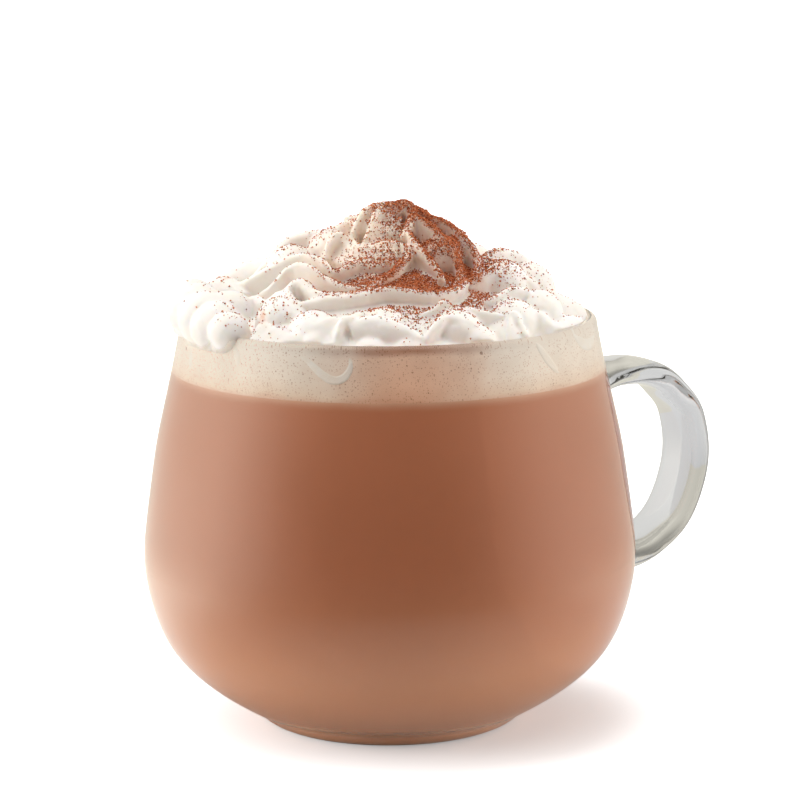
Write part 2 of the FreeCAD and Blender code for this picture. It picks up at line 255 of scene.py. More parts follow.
# Where the cinnamon landed: (across, deep, reach across, reach deep, share).
DUSTED = (
    (5.0, -18.5, 8.5, 3.2, 4.2), (-5.0, -17.2, 7.0, 2.2, 2.4), (11.0, -6.0, 6.5, 5.5, 2.2),
    (14.5, -11.5, 3.4, 5.0, 1.5), (1.0, -1.0, 6.0, 3.0, 2.0), (6.0, -1.0, 5.0, 3.5, 1.8),
    (-7.0, -3.5, 3.6, 3.6, 0.35), (-13.0, -1.0, 9.0, 2.2, 0.7), (-12.5, -13.0, 7.0, 2.0, 0.5),
    (-20.0, -12.0, 5.0, 2.0, 0.35), (17.0, -15.0, 4.5, 3.0, 1.2), (22.0, -10.0, 6.5, 5.0, 0.5),
    (24.0, -2.5, 7.5, 3.0, 0.35), (23.0, -17.0, 6.0, 3.0, 0.3), (4.0, -22.5, 11.0, 2.2, 0.5),
    (-30.5, -5.0, 2.6, 3.0, 0.5), (-24.0, -17.0, 3.0, 3.0, 0.15), (-24.5, -26.5, 2.0, 2.0, 1.2),
    (33.0, -9.0, 4.0, 5.0, 0.3), (5.0, 6.0, 9.0, 6.0, 0.9), (-4.0, 14.0, 10.0, 6.0, 0.35),
    (14.0, 13.0, 8.0, 6.0, 0.3),
)
# A thin scatter over everything.
STRAY_CINNAMON = 0.008
# The finest powder warms the cream all round this place, together with painted warm shade on the
# faces round the peak.
POWDER_AND_SHADE_CENTRE = (1, -9, 97)
POWDER_AND_SHADE_REACH = 28 * MM

# ---- Studio ----
# Soft boxes: (name, place as the folds are laid out, size, power).
LAMP_AIM = (0, 0, 50)
LAMPS = (
    ("key_left", (-700, -40, 120), (0.5, 0.45), 2.9),
    ("fill_right", (700, -40, 240), (0.5, 0.45), 2.65),
    ("top_soft", (-120, 40, 800), (0.5, 0.5), 3.7),
)
AMBIENT = 0.28
SIDE_AMBIENT = 0.10
FLOOR_WHITE = (0.86, 0.86, 0.86)
FLOOR_REACH = 6.0
# The floor whitens with the distance from here, by a painted glow that only the camera sees. Where
# the glow is weak, near here, the shadow shows, so this place sets where the shadow pool lies. How
# much, near and far, and from where to where.
SHADOW_CENTRE = (15, 2, 0)
SHADOW_FADE = (0.018, 0.072)
FLOOR_GLOW_NEAR = 0.24
FLOOR_GLOW_FAR = 0.95
# From where to where the floor turns into the studio, as mirrored and as seen through bent glass.
MIRRORED_FLOOR = (0.045, 0.16)
FLOOR_THROUGH = (0.030, 0.080)
# The glow at the sides as glass mirrors it, from the viewer's side (0) to the far side (1).
SIDE_GLOW = (
    (0.0, (0.02, 0.02, 0.02)), (0.12, (0.10, 0.10, 0.10)), (0.25, (0.42, 0.42, 0.42)),
    (0.45, (1.0, 1.0, 1.0)), (0.68, (0.75, 0.75, 0.75)), (0.92, (0.30, 0.30, 0.30)),
)
SIDE_STRENGTH = 3.8
# The glow's slope across and its level in the middle: the left side is the brighter one.
LEFT_BALANCE = (-0.24, 0.80)
# What shows through bent glass: straight on, at the sides, and the share of it seen from above.
GLASS_STRAIGHT = 0.64
GLASS_SIDE = 0.40
GLASS_ABOVE = 0.30
WARM_GLOW = (1.0, 0.96, 0.84)

# ---- Camera ----
LENS = 142.2
SENSOR = 36
CAMERA_AIM = (2.86, 0, 64.9)
CAMERA_DISTANCE = 632
CAMERA_PITCH = math.radians(9.75)
CAMERA_ROLL = math.radians(0.35)


def seen(across, deep, high):
    """A place given from the shown side in millimetres, in the part's frame."""
    return Matrix.Rotation(SHOWN_SIDE, 3, "Z") @ (Vector((across, deep, high)) * MM)


def from_shown_side(place):
    """A place in the part's frame, as (across, deep, high) in millimetres."""
    return Matrix.Rotation(-SHOWN_SIDE, 3, "Z") @ place / MM


# Directions to the right and away from the viewer.
ACROSS = seen(1000, 0, 0)
DEEP = seen(0, 1000, 0)
UP = (0, 0, 1)


# ---- Mesh helpers ----
def added(name, data):
    """A new object in the scene."""
    thing = bpy.data.objects.new(name, data)
    bpy.context.scene.collection.objects.link(thing)
    return thing


def mesh_from(bm, name):
    """Turns a bmesh into a new mesh."""
    mesh = bpy.data.meshes.new(name)
    put_back(bm, mesh)
    return mesh


def opened(mesh):
    bm = bmesh.new()
    bm.from_mesh(mesh)
    return bm


def put_back(bm, mesh):
    bm.to_mesh(mesh)
    bm.free()


def close_seams(bm):
    """Closes seams and poles, then turns every face outwards."""
    bmesh.ops.remove_doubles(bm, verts=bm.verts, dist=SEAM)
    bmesh.ops.recalc_face_normals(bm, faces=bm.faces)


def place_piece(name, mesh, material, replaces=()):
    """A finished piece of the drink, riding on the part."""
    for polygon in mesh.polygons:
        polygon.use_smooth = True
    piece = added(name, mesh)
    mesh.materials.clear()
    mesh.materials.append(material)
    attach(piece, "root")
    if replaces:
        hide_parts(*replaces)
    return piece


def made_mesh(piece):
    """A new mesh of a piece with its modifiers or curve settings worked in. The piece goes."""
    graph = bpy.context.evaluated_depsgraph_get()
    mesh = bpy.data.meshes.new_from_object(piece.evaluated_get(graph))
    bpy.data.objects.remove(piece)
    return mesh


def hold_within(vert, limit):
    """Moves a point straight in until it is no further out than the limit."""
    away = math.hypot(vert.co.x, vert.co.y)
    if away > limit:
        vert.co.x *= limit / away
        vert.co.y *= limit / away


# ---- Shader helpers ----
def feed(tree, socket, given):
    """Links an output to a socket, or sets a plain value on it."""
    if isinstance(given, bpy.types.NodeSocket):
        tree.links.new(given, socket)
    elif socket.type == "RGBA":
        socket.default_value = (*given, 1.0)
    else:
        socket.default_value = given


def new_material(name, finish):
    """A material with its plain values set on the shader's own sockets."""
    material = bpy.data.materials.new(name)
    material.use_nodes = True
    tree = material.node_tree
    principled = tree.nodes["Principled BSDF"]
    for socket, value in finish.items():
        feed(tree, principled.inputs[socket], value)
    return material, tree, principled


def object_place(tree):
    return tree.nodes.new("ShaderNodeTexCoord").outputs["Object"]


def height_of(tree, place):
    split = tree.nodes.new("ShaderNodeSeparateXYZ")
    tree.links.new(place, split.inputs[0])
    return split.outputs["Z"]


def cloud(tree, place, scale, detail=3.0, rough=0.55):
    """A cloudy mask. The scale is in clouds a metre."""
    node = tree.nodes.new("ShaderNodeTexNoise")
    node.inputs["Scale"].default_value = scale
    node.inputs["Detail"].default_value = detail
    node.inputs["Roughness"].default_value = rough
    tree.links.new(place, node.inputs["Vector"])
    return node.outputs["Fac"]


def ramp(tree, value, stops, course="LINEAR"):
    """A colour for each value, through (value, colour) stops."""
    node = tree.nodes.new("ShaderNodeValToRGB")
    elements = node.color_ramp.elements
    while len(elements) < len(stops):
        elements.new(0.5)
    for element, (at, colour) in zip(elements, stops):
        element.position = at
        element.color = (*colour, 1.0)
    node.color_ramp.interpolation = course
    tree.links.new(value, node.inputs["Fac"])
    return node.outputs["Color"]


def mix_colour(tree, factor, first, second, kind="MIX"):
    node = tree.nodes.new("ShaderNodeMix")
    node.data_type = "RGBA"
    node.blend_type = kind
    sockets = (node.inputs[0], node.inputs[6], node.inputs[7])
    for socket, given in zip(sockets, (factor, first, second)):
        feed(tree, socket, given)
    return node.outputs[2]


def mix_number(tree, factor, first, second):
    node = tree.nodes.new("ShaderNodeMix")
    sockets = (node.inputs[0], node.inputs[2], node.inputs[3])
    for socket, given in zip(sockets, (factor, first, second)):
        feed(tree, socket, given)
    return node.outputs[0]


def maths(tree, operation, *values, clamp=False):
    node = tree.nodes.new("ShaderNodeMath")
    node.operation = operation
    node.use_clamp = clamp
    for socket, given in zip(node.inputs, values):
        feed(tree, socket, given)
    return node.outputs[0]


def vector_maths(tree, operation, first, second=None):
    node = tree.nodes.new("ShaderNodeVectorMath")
    node.operation = operation
    tree.links.new(first, node.inputs[0])
    if second is not None:
        feed(tree, node.inputs[1], second)
    number = operation in ("DOT_PRODUCT", "DISTANCE", "LENGTH")
    return node.outputs["Value" if number else "Vector"]


def ranged(tree, value, start, end, low=0.0, high=1.0, course="SMOOTHSTEP"):
    """A number that goes from low to high as the value goes from start to end."""
    node = tree.nodes.new("ShaderNodeMapRange")
    node.interpolation_type = course
    for socket, given in zip(list(node.inputs)[1:5], (start, end, low, high)):
        socket.default_value = given
    tree.links.new(value, node.inputs["Value"])
    return node.outputs["Result"]


def bump(tree, height, strength, distance):
    node = tree.nodes.new("ShaderNodeBump")
    node.inputs["Strength"].default_value = strength
    node.inputs["Distance"].default_value = distance
    tree.links.new(height, node.inputs["Height"])
    return node.outputs["Normal"]


def emission(tree, colour):
    node = tree.nodes.new("ShaderNodeEmission")
    tree.links.new(colour, node.inputs["Color"])
    return node.outputs[0]


def surface_mix(tree, factor, first, second):
    """Mixes two shaders and gives the result to the surface."""
    mix = tree.nodes.new("ShaderNodeMixShader")
    for socket, given in zip(mix.inputs, (factor, first, second)):
        tree.links.new(given, socket)
    tree.links.new(mix.outputs[0], tree.nodes["Material Output"].inputs["Surface"])


# ---- Materials ----
def glass_material():
    """Clear glass. Light passes it on its way to what it holds."""
    material, tree, principled = new_material("clear_glass", {
        "Base Color": (0.965, 0.97, 0.972), "Roughness": 0.0, "IOR": 1.47,
        "Transmission Weight": 1.0,
    })
    place = object_place(tree)
    waves = cloud(tree, place, 22.0, detail=1.0)
    tree.links.new(bump(tree, waves, 0.12, 0.4 * MM), principled.inputs["Normal"])
    smears = cloud(tree, place, 60.0, detail=2.0)
    smeared = ranged(tree, smears, 0.45, 0.75, 0.0, 0.03, "LINEAR")
    tree.links.new(smeared, principled.inputs["Roughness"])
    clear = tree.nodes.new("ShaderNodeBsdfTransparent")
    light = tree.nodes.new("ShaderNodeLightPath")
    surface_mix(tree, light.outputs["Is Shadow Ray"], principled.outputs[0], clear.outputs[0])
    return material


def coffee_material(level):
    """Milky coffee: paler low down, which is painted light standing in for the floor's bounce, and
    clouded where it meets the foam.
    """
    material, tree, principled = new_material("milky_coffee", {
        "Roughness": 0.4, "Specular IOR Level": 0.0,
        "Sheen Weight": 1.0, "Sheen Roughness": 0.5, "Sheen Tint": (1.0, 0.92, 0.60),
    })
    place = object_place(tree)
    height = height_of(tree, place)
    tone = ramp(tree, cloud(tree, place, 26.0, detail=2.0), COFFEE_TONES)
    # painted light: paler low down, for the floor's bounce
    low = ranged(tree, height, PAINTED_BOUNCE_FROM, PAINTED_BOUNCE_FULL_AT)
    colour = mix_colour(tree, low, tone, COFFEE_PAINTED_BOUNCE)
    under_foam = ranged(
        tree, height, level + COFFEE_CLOUDING[0], level + COFFEE_CLOUDING[1], course="LINEAR"
    )
    swirl = maths(tree, "MULTIPLY_ADD", cloud(tree, place, 130.0), 0.7, -0.35)
    clouded = maths(tree, "ADD", swirl, under_foam)
    clouded = maths(tree, "MULTIPLY", clouded, under_foam, clamp=True)
    colour = mix_colour(tree, clouded, colour, COFFEE_CLOUD)
    tree.links.new(colour, principled.inputs["Base Color"])
    return material


def bubbled(tree, place, colour):
    """Small open bubbles, with painted shade inside."""
    for cells, size, share, dark in FOAM_BUBBLES:
        bubbles = tree.nodes.new("ShaderNodeTexVoronoi")
        bubbles.inputs["Scale"].default_value = cells
        tree.links.new(place, bubbles.inputs["Vector"])
        inside = maths(tree, "LESS_THAN", bubbles.outputs["Distance"], size)
        pick = tree.nodes.new("ShaderNodeSeparateColor")
        tree.links.new(bubbles.outputs["Color"], pick.inputs[0])
        shown = maths(tree, "LESS_THAN", pick.outputs[0], share)
        mask = maths(tree, "MULTIPLY", inside, shown)
        # painted shade inside each open bubble
        bubble_shade = (dark, dark * 0.86, dark * 0.78)
        shaded_colour = mix_colour(tree, 1.0, colour, bubble_shade, "MULTIPLY")
        colour = mix_colour(tree, mask, colour, shaded_colour)
    return colour


def foam_material(level, top):
    """Fine milk foam: tan in front, paler at both sides as painted side light, paler towards its
    top.
    """
    material, tree, principled = new_material("fine_milk_foam", {
        "Roughness": 0.55, "Specular IOR Level": 0.2,
    })
    place = object_place(tree)
    height = maths(tree, "SUBTRACT", height_of(tree, place), level)
    waver = maths(tree, "MULTIPLY_ADD", cloud(tree, place, 90.0), 2.4 * MM, -1.2 * MM)
    share = maths(tree, "DIVIDE", maths(tree, "ADD", height, waver), top - level)
    share = maths(tree, "MULTIPLY", share, 0.8)
    across = vector_maths(tree, "DOT_PRODUCT", place, ACROSS)
    aside = maths(tree, "ABSOLUTE", maths(tree, "ADD", across, -4 * MM))
    aside = maths(tree, "MULTIPLY_ADD", cloud(tree, place, 75.0), 16 * MM, aside)
    # painted light: the foam turns paler towards both sides
    painted_side_light = ranged(tree, aside, 9 * MM, 28 * MM)
    tone = mix_colour(tree, painted_side_light, ramp(tree, share, FOAM_TAN), ramp(tree, share, FOAM_PAINTED_SIDE_LIGHT))
    shade = ramp(tree, cloud(tree, place, 150.0, detail=4.0), FOAM_PATCHES)
    colour = bubbled(tree, place, mix_colour(tree, 1.0, tone, shade, "MULTIPLY"))
    tree.links.new(colour, principled.inputs["Base Color"])
    return material


def cream_material():
    """Whipped cream: warm white, softly lit through, tan round the peak from fine powder and
    painted warm shade, stained where cinnamon lies on it.
    """
    material, tree, principled = new_material("whipped_cream", {
        "Roughness": 0.42, "Specular IOR Level": 0.35,
        "Subsurface Weight": 0.55, "Subsurface Radius": (1.0, 0.75, 0.5),
        "Subsurface Scale": 1.6 * MM,
        "Sheen Weight": 0.28, "Sheen Roughness": 0.6, "Sheen Tint": (1.0, 0.97, 0.93),
    })
    place = object_place(tree)
    dust = tree.nodes.new("ShaderNodeAttribute")
    dust.attribute_name = "dust"
    white = ramp(tree, cloud(tree, place, 120.0), CREAM_WHITES)
    # partly fine powder, partly painted warm shade: tan towards the peak
    to_middle = vector_maths(tree, "DISTANCE", place, seen(*POWDER_AND_SHADE_CENTRE))
    powder_and_shade = ranged(tree, to_middle, POWDER_AND_SHADE_REACH, 0.0, 0.0, 0.75)
    warm = mix_colour(tree, powder_and_shade, white, (0.90, 0.71, 0.54))
    powder = maths(tree, "MULTIPLY", dust.outputs["Fac"], 0.62, clamp=True)
    tinted = mix_colour(tree, powder, warm, (0.80, 0.49, 0.31))
    grit = cloud(tree, place, 1500.0, rough=0.7)
    stain = maths(tree, "MULTIPLY_ADD", grit, 2.2, -0.62, clamp=True)
    amount = maths(tree, "MULTIPLY", stain, dust.outputs["Fac"], clamp=True)
    colour = mix_colour(tree, amount, tinted, (0.50, 0.155, 0.060))
    tree.links.new(colour, principled.inputs["Base Color"])
    fine = cloud(tree, place, 900.0, detail=4.0)
    tree.links.new(bump(tree, fine, 0.25, 0.12 * MM), principled.inputs["Normal"])
    return material


def sunk_cream_material():
    """Cream that the foam has begun to colour."""
    material, tree, principled = new_material("sunk_cream", {
        "Roughness": 0.6, "Specular IOR Level": 0.0,
    })
    tone = ramp(tree, cloud(tree, object_place(tree), 260.0, detail=4.0), SUNK_WHITES)
    tree.links.new(tone, principled.inputs["Base Color"])
    return material


def cinnamon_material():
    """Ground bark: each grain has its own brown."""
    material, tree, principled = new_material("ground_cinnamon", {
        "Roughness": 0.8, "Specular IOR Level": 0.25,
    })
    tone = ramp(tree, cloud(tree, object_place(tree), 2600.0, detail=1.0), CINNAMON_BROWNS)
    tree.links.new(tone, principled.inputs["Base Color"])
    return material


# ---- Mug and drink ----
def cad_tree(node):
    """The part's own solid as a search tree."""
    graph = bpy.context.evaluated_depsgraph_get()
    return BVHTree.FromObject(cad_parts[node], graph)


def outer_radius(tree, height):
    """The mug's outer radius at a height, felt from the side away from the handle."""
    return -tree.ray_cast(Vector((-1, 0, height)), Vector((1, 0, 0)))[0].x


def inner_radius(tree, height):
    """The radius of the mug's inside at a height."""
    return -tree.ray_cast(Vector((0, 0, height)), Vector((-1, 0, 0)))[0].x


def spun(profile):
    """The closed surface of a (radius, height) profile turned about the mug's axis."""
    bm = bmesh.new()
    points = [bm.verts.new((radius, 0, height)) for radius, height in profile]
    edges = [bm.edges.new(pair) for pair in zip(points, points[1:])]
    bmesh.ops.spin(
        bm, geom=points + edges, cent=(0, 0, 0), axis=UP, angle=2 * math.pi,
        steps=ROUND_STEPS, use_merge=True,
    )
    close_seams(bm)
    return bm


def cup_profile(tree, floor, rim):
    """The glass's section, from the middle of its underside, over the lip, to the middle of its
    floor."""
    lip = (outer_radius(tree, rim / 2) - inner_radius(tree, rim / 2)) / 2

    def heights(start, rise, crowding):
        return [start + rise * (i / SIDE_STEPS) ** crowding for i in range(SIDE_STEPS + 1)]

    outer = heights(OUTSIDE_START, rim - lip, OUTSIDE_CROWDING)
    inner = heights(floor + INSIDE_START, rim - lip - floor, INSIDE_CROWDING)
    outside = [(outer_radius(tree, z), z) for z in outer]
    inside = [(inner_radius(tree, z), z) for z in inner]
    over = outside[-1]
    under = inside[-1]
    middle = (over[0] + under[0]) / 2
    half = (over[0] - under[0]) / 2
    turns = [math.pi * i / LIP_STEPS for i in range(1, LIP_STEPS)]
    round_lip = [(middle + half * math.cos(t), over[1] + lip * math.sin(t)) for t in turns]
    foot = outside[0][0]
    underside = [(0, 0), (foot * 0.5, 0), (foot, 0)]
    return [*underside, *outside[1:], *round_lip, *reversed(inside[1:]), (0, floor)]


def outline_curve(name, points):
    """A smooth closed curve through (across, up) points, as a section to sweep."""
    data = bpy.data.curves.new(name, "CURVE")
    data.dimensions = "2D"
    data.resolution_u = 4
    spline = data.splines.new("BEZIER")
    spline.bezier_points.add(len(points) - 1)
    for point, (across, up) in zip(spline.bezier_points, points):
        point.co = (across, up, 0)
        point.handle_left_type = point.handle_right_type = "AUTO"
    spline.use_cyclic_u = True
    return added(name, data)


def swept(name, section, stations, lean=0.0, resolution=8, flat=False):
    """A section swept through (place, size) stations, as a mesh with closed ends. The section is
    removed."""
    data = bpy.data.curves.new(name, "CURVE")
    data.dimensions = "2D" if flat else "3D"
    data.resolution_u = resolution
    data.bevel_mode = "OBJECT"
    data.bevel_object = section
    data.use_fill_caps = True
    data.twist_mode = "Z_UP"
    spline = data.splines.new("BEZIER")
    spline.bezier_points.add(len(stations) - 1)
    for point, (place, size) in zip(spline.bezier_points, stations):
        point.co = place
        point.radius = size
        point.tilt = lean
        point.handle_left_type = point.handle_right_type = "AUTO"
    mesh = made_mesh(added(name, data))
    bpy.data.objects.remove(section)
    return mesh


def strap_section():
    """The strap's section: an oval pressed towards a rectangle."""
    def pressed(share, size):
        return math.copysign(abs(share) ** (2 / STRAP_SQUARENESS), share) * size / 2

    corners = []
    for i in range(STRAP_CORNERS):
        turn = 2 * math.pi * i / STRAP_CORNERS
        thick = pressed(math.cos(turn), STRAP_THICKNESS)
        corners.append((thick, pressed(math.sin(turn), STRAP_WIDTH)))
    return outline_curve("strap_section", corners)


def strap_mesh():
    """The handle's strap, thicker where it melts into the cup. Swept flat, then stood up."""
    roots = (STRAP_LINE[0], STRAP_LINE[-1])
    stations = []
    for out, high in STRAP_LINE:
        size = ROOT_FLARE if (out, high) in roots else 1.0
        stations.append(((out * MM, high * MM, 0), size))
    strap = swept("strap", strap_section(), stations, resolution=16, flat=True)
    strap.transform(Matrix.Rotation(math.pi / 2, 4, "X"))
    bm = opened(strap)
    close_seams(bm)
    put_back(bm, strap)
    return strap


def make_mug(tree, floor, rim, material):
    """Cup and handle as one closed glass body."""
    cup = added("cup", mesh_from(spun(cup_profile(tree, floor, rim)), "cup"))
    handle = added("handle", strap_mesh())
    union = cup.modifiers.new("handle", "BOOLEAN")
    union.operation = "UNION"
    union.solver = "EXACT"
    union.object = handle
    mesh = made_mesh(cup)
    bpy.data.objects.remove(handle)
    joined = opened(mesh)
    bmesh.ops.dissolve_degenerate(joined, dist=SLIVER, edges=joined.edges)
    many_sided = [face for face in joined.faces if len(face.verts) > 4]
    bmesh.ops.triangulate(joined, faces=many_sided)
    put_back(joined, mesh)
    place_piece("glass_mug_body", mesh, material, ("glass_mug",))


def drink_side(mug, low, high, steps):
    """The drink's side between two heights, just inside the glass."""
    heights = [low + (high - low) * i / steps for i in range(steps + 1)]
    return [(inner_radius(mug, z) + INTO_WALL, z) for z in heights]


def make_coffee(mug, floor, level, material):
    """The coffee reaches just into the glass, so that no air shows behind it, and deeper at the
    foot, where the clear floor hardly shows."""
    heights = (FOOT_CLEAR, FOOT_CLEAR + DRINK_EDGE, 0.5 * floor, 0.8 * floor)
    foot = [(outer_radius(mug, z) - FOOT_CLEAR, z) for z in heights]
    foot.insert(0, (foot[0][0] - DRINK_EDGE, FOOT_CLEAR))
    sides = drink_side(mug, floor + FLOOR_ROUND, level - DRINK_EDGE, COFFEE_STEPS)
    sides += drink_side(mug, level, level, 1)[:1]
    edge = (sides[-1][0] - DRINK_EDGE, level)
    profile = [(0, FOOT_CLEAR), *foot, *sides, edge, (0, level)]
    mesh = mesh_from(spun(profile), "coffee_body")
    place_piece("coffee_body", mesh, material, ("coffee",))


def make_foam(mug, level, top, material):
    """The layer of foam, with a thin film that climbs the glass above it."""
    wall = inner_radius(mug, top)
    film = [(wall - inward * MM, top + up * MM) for inward, up in FILM]
    film_top = top + FILM[0][1] * MM
    outside = drink_side(mug, level, level, 1)[:1]
    outside += drink_side(mug, level + DRINK_EDGE, film_top - DRINK_EDGE, FOAM_STEPS)
    outside += drink_side(mug, film_top, film_top, 1)[:1]
    edge = (outside[0][0] - DRINK_EDGE, level)
    profile = [(0, level), edge, *outside, *film, (0, top)]
    mesh = mesh_from(spun(profile), "milk_foam_layer")
    place_piece("milk_foam_layer", mesh, material, ("milk_foam",))


# ---- Whipped cream ----
def sunk_streak(tree, half, course):
    """One streak of cream against the inside of the glass. The course is in (turn, height)."""
    stations = []
    for i, (turn, high) in enumerate(course):
        away = inner_radius(tree, high * MM) - 0.55 * half * MM
        angle = SHOWN_SIDE - math.pi / 2 + math.radians(turn)
        size = 0.45 + 0.55 * math.sin(math.pi * (i + 0.5) / len(course))
        stations.append(((away * math.cos(angle), away * math.sin(angle), high * MM), size))
    turns = np.linspace(0, 2 * math.pi, STREAK_CORNERS + 1)[:-1]
    ring = [(half * MM * math.cos(turn), half * MM * math.sin(turn)) for turn in turns]
    return swept("streak", outline_curve("streak_section", ring), stations)


def make_sunk_cream(tree, material):
    """Streaks of cream that sank into the foam along the glass."""
    bm = bmesh.new()
    for half, course in SUNK_STREAKS:
        streak = sunk_streak(tree, half, course)
        bm.from_mesh(streak)
        bpy.data.meshes.remove(streak)
    close_seams(bm)
    for vert in bm.verts:
        hold_within(vert, inner_radius(tree, vert.co.z) + INTO_WALL + STREAK_PROUD)
    place_piece("sunk_cream", mesh_from(bm, "sunk_cream"), material)


def fold_section(half, side, foot):
    """A fold's section: the crest, one side down to the foot, and the same side back up."""
    shape = ((0, 0), *((-x, y) for x, y in side), (0, foot), *reversed(side))
    return outline_curve("fold_section", [(x * half * MM, y * half * MM) for x, y in shape])


def fold_mesh(section, lean, crest):
    """One fold of cream along its crest, thinner towards both ends."""
    last = len(crest) - 1
    stations = []
    for i, point in enumerate(crest):
        size = 0.70 + 0.30 * math.sin(math.pi * min(1.0, (i + 0.6) / (last + 1.2)))
        stations.append((seen(*point), size))
    mesh = swept("fold", section, stations, math.radians(lean))
    bm = opened(mesh)
    close_seams(bm)
    put_back(bm, mesh)
    return mesh


def core_bm(rim):
    """The heap under the folds: a low dome, well below their crests."""
    profile = []
    for share in CORE_SHARES:
        height = CORE_BASE + CORE_RISE * (1 - share ** 1.6)
        profile.append((CORE_RADIUS * share, rim + height))
    profile.append((CORE_RADIUS, rim - CORE_DEPTH))
    profile.append((0, rim - CORE_DEPTH))
    return spun(profile)


def lump(bm, place, radius):
    ball = bmesh.ops.create_icosphere(bm, subdivisions=3, radius=radius)
    bmesh.ops.translate(bm, verts=ball["verts"], vec=place)


def edge_lumps(bm, rim):
    """Small lumps of cream side by side along the inside of the rim."""
    rng = np.random.default_rng(5)
    for i in range(EDGE_LUMPS):
        turn = 2 * math.pi * (i + rng.uniform(-0.25, 0.25)) / EDGE_LUMPS
        radius = rng.uniform(*EDGE_LUMP_SIZES) * MM
        out = EDGE_LUMP_REACH - radius
        height = rim + rng.uniform(*EDGE_LUMP_HEIGHTS) * MM
        lump(bm, (out * math.cos(turn), out * math.sin(turn), height), radius)


def cream_mesh(rim):
    """All folds and lumps melted into one skin, then softened a little."""
    bm = core_bm(rim)
    edge_lumps(bm, rim)
    for across, deep, high, radius in BACKING + SPILL:
        lump(bm, seen(across, deep, high), radius * MM)
    kinds = ((LIP_SIDE, LIP_FOOT, LIPS + BACK_LIPS), (ROPE_SIDE, ROPE_FOOT, ROPES))
    for side, foot, folds in kinds:
        for half, lean, crest in folds:
            fold = fold_mesh(fold_section(half, side, foot), lean, crest)
            bm.from_mesh(fold)
            bpy.data.meshes.remove(fold)
    piece = added("cream_parts", mesh_from(bm, "cream_parts"))
    skin = piece.modifiers.new("skin", "REMESH")
    skin.mode = "VOXEL"
    skin.voxel_size = CREAM_VOXEL
    soft = piece.modifiers.new("soft", "SMOOTH")
    soft.factor = 0.5
    soft.iterations = 2
    return made_mesh(piece)


def ripple(mesh):
    """Works small unevenness into the cream's surface."""
    count = len(mesh.vertices)
    places = np.empty(count * 3)
    normals = np.empty(count * 3)
    mesh.vertices.foreach_get("co", places)
    mesh.vertices.foreach_get("normal", normals)
    places = places.reshape(-1, 3)
    normals = normals.reshape(-1, 3)
    moves = np.empty(count)
    for i, place in enumerate(places):
        p = Vector(place)
        broad = noise.noise(p * 230)
        fine = noise.noise(p * 700 + Vector((3, 5, 7)))
        moves[i] = broad * 1.6 + fine * 0.7
    places += normals * (moves * CREAM_RIPPLE)[:, None]
    mesh.vertices.foreach_set("co", places.ravel())


def ease(value, low, high):
    """0 below one value, 1 above another, smooth in between."""
    share = max(0.0, min(1.0, (value - low) / (high - low)))
    return share * share * (3 - 2 * share)


def outer_limit(place, wall, rim):
    """How far out the cream may reach: inside the wall, a little further in along the front, out
    over the lip above it, and free where it lies over the lip."""
    local = from_shown_side(place)
    front = ease(-local.y, 24, 34) * ease(24 - abs(local.x - 1), 0, 6)
    low = ease(rim + 0.5 * MM - place.z, 0, 0.8 * MM)
    inside = wall - (CREAM_GAP + FRONT_GAP * front * low) * MM
    over_lip = max(0.0, place.z - rim - 0.05 * MM) * OVER_LIP_SLOPE
    limit = min(inside + over_lip, CREAM_REACH)
    within = max(radius - (local - Vector(centre)).length for *centre, radius in SPILL)
    free = ease(within, -0.9, -0.1) * ease(place.z, rim - 4.2 * MM, rim - 3.4 * MM)
    return limit + free * (SPILL_REACH - limit)


def keep_off_glass(mesh, tree, rim):
    """Cream below the lip stays just clear of the wall, and is cut flat underneath."""
    bm = opened(mesh)
    wall = inner_radius(tree, rim - 2 * MM)
    for vert in bm.verts:
        hold_within(vert, outer_limit(vert.co, wall, rim))
    cut = (0, 0, rim + CREAM_FLOOR)
    geometry = bm.verts[:] + bm.edges[:] + bm.faces[:]
    bmesh.ops.bisect_plane(bm, geom=geometry, plane_co=cut, plane_no=UP, clear_inner=True)
    bmesh.ops.holes_fill(bm, edges=[e for e in bm.edges if e.is_boundary], sides=0)
    put_back(bm, mesh)


def dusting(place):
    """How thickly the cinnamon lies over a place: even where there is much of it, and in small
    clumps where there is little."""
    local = from_shown_side(place)
    total = STRAY_CINNAMON
    for across, deep, wide, far, share in DUSTED:
        away = ((local.x - across) / wide) ** 2 + ((local.y - deep) / far) ** 2
        total += share * math.exp(-1.8 * away)
    patchy = 0.55 + 1.0 * noise.noise(place * 210) + 0.9 * noise.noise(place * 640)
    thick = ease(total, 0.1, 1.2)
    clumps = (0.25 + 0.75 * thick) * 1.3 * max(0.0, patchy) ** (4.0 - 3.2 * thick)
    return total * min(2.2, clumps + 0.25 * thick)


def dust_attribute(mesh):
    """Stores on each point of the cream how much cinnamon stains it."""
    values = np.zeros(len(mesh.vertices), np.float32)
    for i, vert in enumerate(mesh.vertices):
        faces_up = max(0.0, vert.normal.z + 0.15)
        values[i] = min(1.0, dusting(vert.co) * min(1.0, faces_up * 1.6) * 0.6)
    attribute = mesh.attributes.new("dust", "FLOAT", "POINT")
    attribute.data.foreach_set("value", values)


def make_cream(tree, rim, material):
    mesh = cream_mesh(rim)
    ripple(mesh)
    keep_off_glass(mesh, tree, rim)
    dust_attribute(mesh)
    return place_piece("whipped_cream_swirls", mesh, material, ("whipped_cream",))


# ---- Cinnamon ----
def grain_shape():
    """A rough little chip: a three-sided double pyramid."""
    bm = bmesh.new()
    bmesh.ops.create_cone(bm, segments=3, radius1=1, radius2=0, depth=1, cap_ends=False)
    whole = bm.verts[:] + bm.edges[:] + bm.faces[:]
    base = Matrix.Translation((0, 0, 0.5))
    bmesh.ops.mirror(bm, geom=whole, merge_dist=1e-4, axis="Z", matrix=base)
    bmesh.ops.remove_doubles(bm, verts=bm.verts, dist=1e-3)
    bmesh.ops.recalc_face_normals(bm, faces=bm.faces)
    places = np.array([v.co[:] for v in bm.verts])
    faces = np.array([[v.index for v in f.verts] for f in bm.faces])
    bm.free()
    return places - places.mean(0), faces


